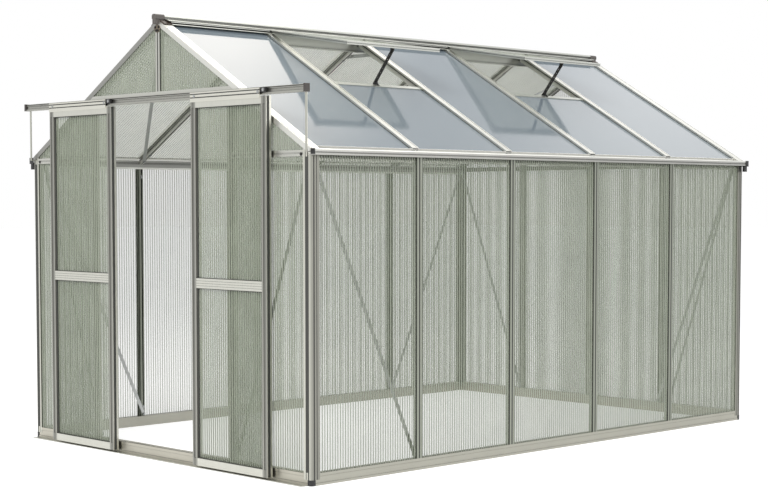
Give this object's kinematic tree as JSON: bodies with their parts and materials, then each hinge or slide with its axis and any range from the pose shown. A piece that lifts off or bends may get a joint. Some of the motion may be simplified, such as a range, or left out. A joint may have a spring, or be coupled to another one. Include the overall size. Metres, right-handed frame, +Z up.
{
  "type": "greenhouse",
  "caption": "Aluminium garden greenhouse with twin-wall glazing, open roof vents on one slope and a pair of sliding doors hung on a rail across the gable.",
  "frame": {"origin": "centre of the footprint's bounding box, on the ground", "axes": "+X to the right seen from the doors, +Y along the ridge away from the doors, +Z up"},
  "size_m": [2.192, 3.207, 2.0575],
  "materials": {
    "aluminium": "mill-finish extrusions, satin with fine drawn lines",
    "galvanised_steel": "flat galvanised strip, dull",
    "bronze_steel": "brown-grey coated plate, satin",
    "dark_steel": "dark coated perforated bar",
    "polycarbonate": "clear twin-wall sheet with fine flutes, glossy",
    "black_plastic": "moulded, matt",
    "grey_plastic": "moulded, matt"
  },
  "bodies": {
    "frame": {"base_front": "aluminium", "base_back": "aluminium", "base_sides": "aluminium", "corner_feet": "black_plastic", "door_guide": "aluminium", "corner_posts": "aluminium", "posts_left": "aluminium", "posts_right": "aluminium", "gutter_left": "aluminium", "gutter_right": "aluminium", "gutter_end_caps": "black_plastic", "door_jambs": "aluminium", "door_header": "aluminium", "gable_bars_front": "aluminium", "gable_posts_back": "aluminium", "gable_bars_back": "aluminium", "ridge_beam": "aluminium", "ridge_end_caps": "grey_plastic", "apex_gussets": "bronze_steel", "rafters_left": "aluminium", "rafters_right": "aluminium", "verge_rafters": "aluminium", "collar_ties": "galvanised_steel", "roof_braces": "galvanised_steel", "wall_braces": "galvanised_steel", "vent_sills": "aluminium", "vent_frames": "aluminium", "vent_panes": "polycarbonate", "vent_stays": "dark_steel", "panes_left": "polycarbonate", "panes_right": "polycarbonate", "panes_front": "polycarbonate", "panes_back": "polycarbonate", "roof_panes_left": "polycarbonate", "roof_panes_right": "polycarbonate", "sheet_end_strips": "aluminium", "door_rail": "aluminium", "door_track": "aluminium", "rail_end_caps": "grey_plastic", "rail_straps": "aluminium"},
    "door_left": {"door_left_frame": "aluminium", "door_left_panels": "polycarbonate", "door_left_hanger": "aluminium", "door_left_wheels": "black_plastic"},
    "door_right": {"door_right_frame": "aluminium", "door_right_panels": "polycarbonate", "door_right_hanger": "aluminium", "door_right_wheels": "black_plastic"}
  },
  "joints": [
    {"name": "door_left_slide", "type": "slide", "parent": "frame", "child": "door_left", "axis": [-1, 0, 0], "range_m": [-0.322, 0.19]},
    {"name": "door_right_slide", "type": "slide", "parent": "frame", "child": "door_right", "axis": [1, 0, 0], "range_m": [-0.289, 0.222]}
  ]
}
